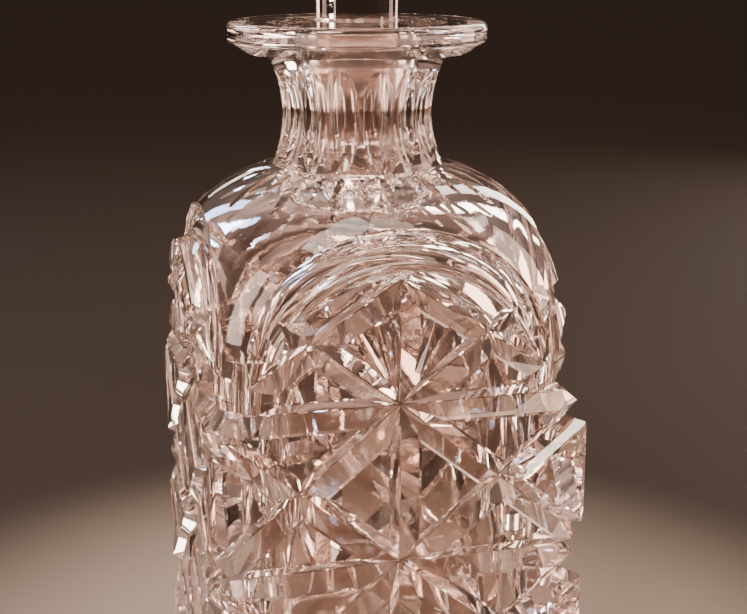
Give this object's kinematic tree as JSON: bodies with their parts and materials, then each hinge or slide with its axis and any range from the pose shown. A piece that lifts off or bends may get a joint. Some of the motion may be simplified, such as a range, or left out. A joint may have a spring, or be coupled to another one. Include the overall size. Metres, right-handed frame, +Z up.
{
  "type": "wine decanter",
  "caption": "Square cut-glass decanter with an arched, mitre-cut pattern on each side, a fluted neck, a wide flat lip and a ground-in glass stopper with a faceted head.",
  "frame": {"origin": "middle of the flat base that the decanter stands on", "axes": "+Z up along the neck's axis, the way the stopper lifts out; X and Y square to the flat sides"},
  "size_m": [0.092, 0.092, 0.2307],
  "materials": {
    "decanter_glass": "polished, mitre cut",
    "stopper_glass": "polished head, ground plug"
  },
  "bodies": {
    "decanter": {"decanter_body": "decanter_glass"},
    "stopper": {"stopper": "stopper_glass"}
  },
  "joints": [
    {"name": "stopper_lift", "type": "slide", "parent": "decanter", "child": "stopper", "axis": [0, 0, 1], "range_m": [0, 0.06]}
  ]
}
